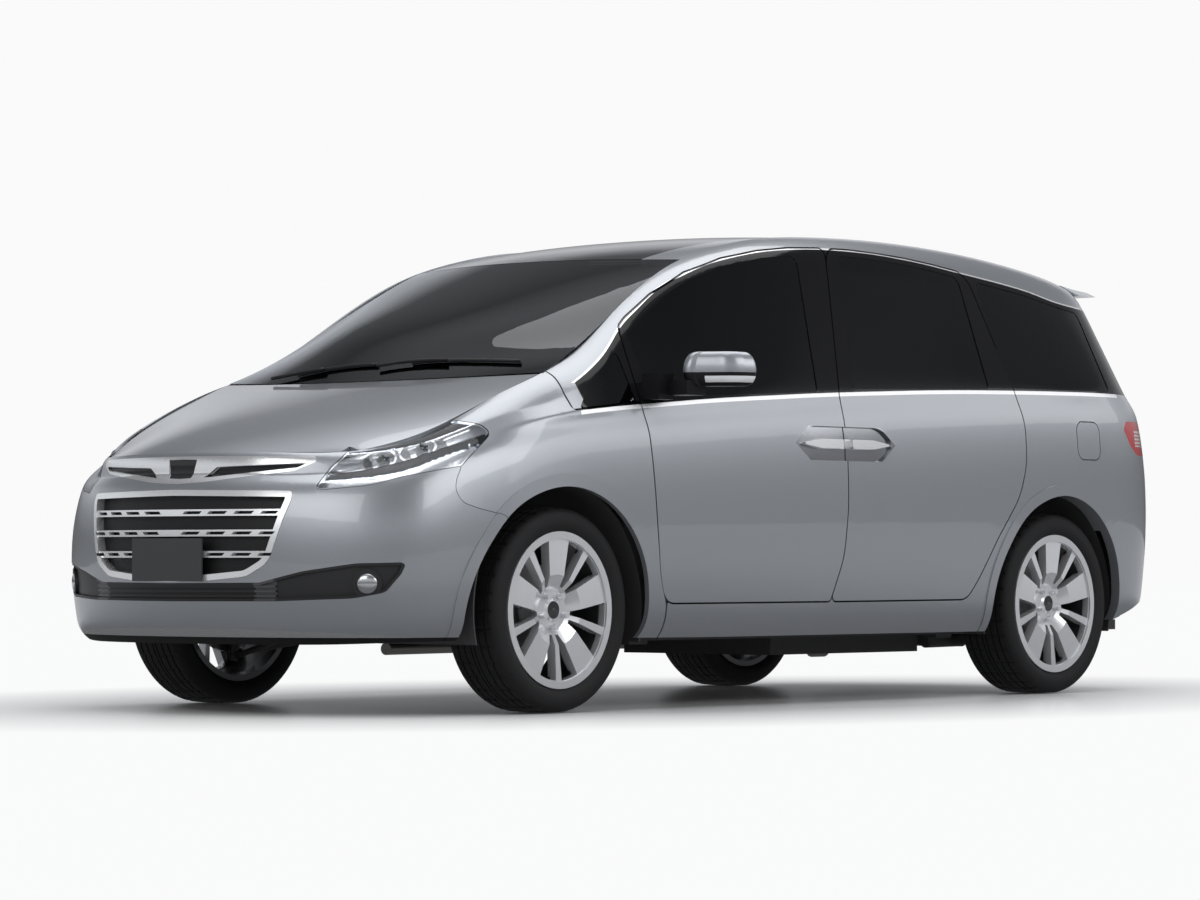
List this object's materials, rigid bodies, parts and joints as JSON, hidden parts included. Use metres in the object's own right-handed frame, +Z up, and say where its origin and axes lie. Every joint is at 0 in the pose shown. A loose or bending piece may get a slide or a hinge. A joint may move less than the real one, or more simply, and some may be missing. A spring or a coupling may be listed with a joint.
{
  "type": "minivan",
  "caption": "Silver minivan with long windscreen, sliding rear doors, lift-up tailgate, bright slatted grille and alloy wheels, with cabin and running gear.",
  "frame": {"origin": "on the ground under the middle of the body", "axes": "+X forward, +Y to the left side, +Z up"},
  "size_m": [4.8494, 2.3762, 1.7402],
  "materials": {
    "alloy": "machined",
    "black_plastic": "matte",
    "chassis": "satin",
    "chrome": "polished",
    "cloth": "woven",
    "dark_body": "satin",
    "engine_metal": "cast",
    "exhaust": "dull",
    "glass": "tinted",
    "grip": "grained",
    "lamp_chrome": "polished",
    "lamp_glass": "clear",
    "paint": "metallic gloss",
    "plate": "satin",
    "satin_grille": "satin",
    "tail_red": "gloss",
    "tank": "matte",
    "trim": "grained",
    "tyre": "matte"
  },
  "bodies": {
    "body_shell": {"body_sides": "paint", "side_frames": "dark_body", "roof_panel": "paint", "fenders": "paint", "front_bumper": "paint", "upper_grille": "chrome", "main_grille": "satin_grille", "grille_backing": "black_plastic", "lower_grille": "black_plastic", "fog_lamps": "lamp_glass", "headlamp_lenses": "lamp_glass", "headlamp_housings": "lamp_chrome", "front_plate": "plate", "rear_bumper": "paint", "tail_lamps": "tail_red", "windscreen": "glass", "fixed_side_glass": "glass", "cowl": "black_plastic", "floor_pan": "dark_body", "front_structure": "dark_body", "dashboard": "trim", "front_seats": "cloth", "second_row_seats": "cloth", "third_row_seats": "cloth", "engine": "engine_metal", "front_subframe": "chassis", "rear_axle": "chassis", "exhaust": "exhaust", "fuel_tank": "tank", "sliding_doors": "paint", "sliding_door_glass": "glass"},
    "front_door_left": {"front_door_left": "paint", "front_door_glass_left": "glass", "mirror_left": "paint"},
    "front_door_right": {"front_door_right": "paint", "front_door_glass_right": "glass", "mirror_right": "paint"},
    "hood": {"hood": "paint"},
    "tailgate": {"tailgate": "paint", "tailgate_glass": "glass", "tailgate_spoiler": "paint", "rear_plate": "plate"},
    "fuel_flap": {"fuel_flap": "paint"},
    "steering_wheel": {"steering_wheel": "grip"},
    "knuckle_left": {"knuckle_left": "chassis"},
    "knuckle_right": {"knuckle_right": "chassis"},
    "wheel_front_left": {"rim_front_left": "alloy", "tyre_front_left": "tyre"},
    "wheel_front_right": {"rim_front_right": "alloy", "tyre_front_right": "tyre"},
    "wheel_rear_left": {"rim_rear_left": "alloy", "tyre_rear_left": "tyre"},
    "wheel_rear_right": {"rim_rear_right": "alloy", "tyre_rear_right": "tyre"}
  },
  "joints": [
    {"name": "steer_left", "type": "hinge", "parent": "body_shell", "child": "knuckle_left", "pos_m": [1.43, 0.693, 0.195], "axis": [0, -0.1786, 0.9839], "range_deg": [-33, 33]},
    {"name": "steer_right", "type": "hinge", "parent": "body_shell", "child": "knuckle_right", "pos_m": [1.43, -0.693, 0.195], "axis": [0, 0.1786, 0.9839], "range_deg": [-33, 33]},
    {"name": "steering_wheel_turn", "type": "hinge", "parent": "body_shell", "child": "steering_wheel", "pos_m": [0.5, 0.37, 0.985], "axis": [-0.9135, 0, 0.4067], "range_deg": [-462, 462]},
    {"name": "front_left_spin", "type": "hinge", "parent": "knuckle_left", "child": "wheel_front_left", "pos_m": [1.43, 0.7675, 0.348], "axis": [0, 1, 0], "continuous": true},
    {"name": "front_right_spin", "type": "hinge", "parent": "knuckle_right", "child": "wheel_front_right", "pos_m": [1.43, -0.7675, 0.348], "axis": [0, 1, 0], "continuous": true},
    {"name": "rear_left_spin", "type": "hinge", "parent": "body_shell", "child": "wheel_rear_left", "pos_m": [-1.48, 0.7675, 0.348], "axis": [0, 1, 0], "continuous": true},
    {"name": "rear_right_spin", "type": "hinge", "parent": "body_shell", "child": "wheel_rear_right", "pos_m": [-1.48, -0.7675, 0.348], "axis": [0, 1, 0], "continuous": true},
    {"name": "front_door_left_hinge", "type": "hinge", "parent": "body_shell", "child": "front_door_left", "pos_m": [1.005, 0.945, 0.65], "axis": [0, 0, -1], "range_deg": [0, 65]},
    {"name": "front_door_right_hinge", "type": "hinge", "parent": "body_shell", "child": "front_door_right", "pos_m": [1.005, -0.945, 0.65], "axis": [0, 0, 1], "range_deg": [0, 65]},
    {"name": "hood_hinge", "type": "hinge", "parent": "body_shell", "child": "hood", "pos_m": [1.385, 0, 1.165], "axis": [0, -1, 0], "range_deg": [0, 50]},
    {"name": "tailgate_hinge", "type": "hinge", "parent": "body_shell", "child": "tailgate", "pos_m": [-1.985, 0, 1.665], "axis": [0, 1, 0], "range_deg": [0, 80]},
    {"name": "fuel_flap_hinge", "type": "hinge", "parent": "body_shell", "child": "fuel_flap", "pos_m": [-1.584, 0.928, 0.98], "axis": [0, 0, -1], "range_deg": [0, 75]}
  ],
  "couplings": [
    {"joint": "steer_right", "follows": "steer_left", "ratio": 1},
    {"joint": "steering_wheel_turn", "follows": "steer_left", "ratio": 14}
  ]
}
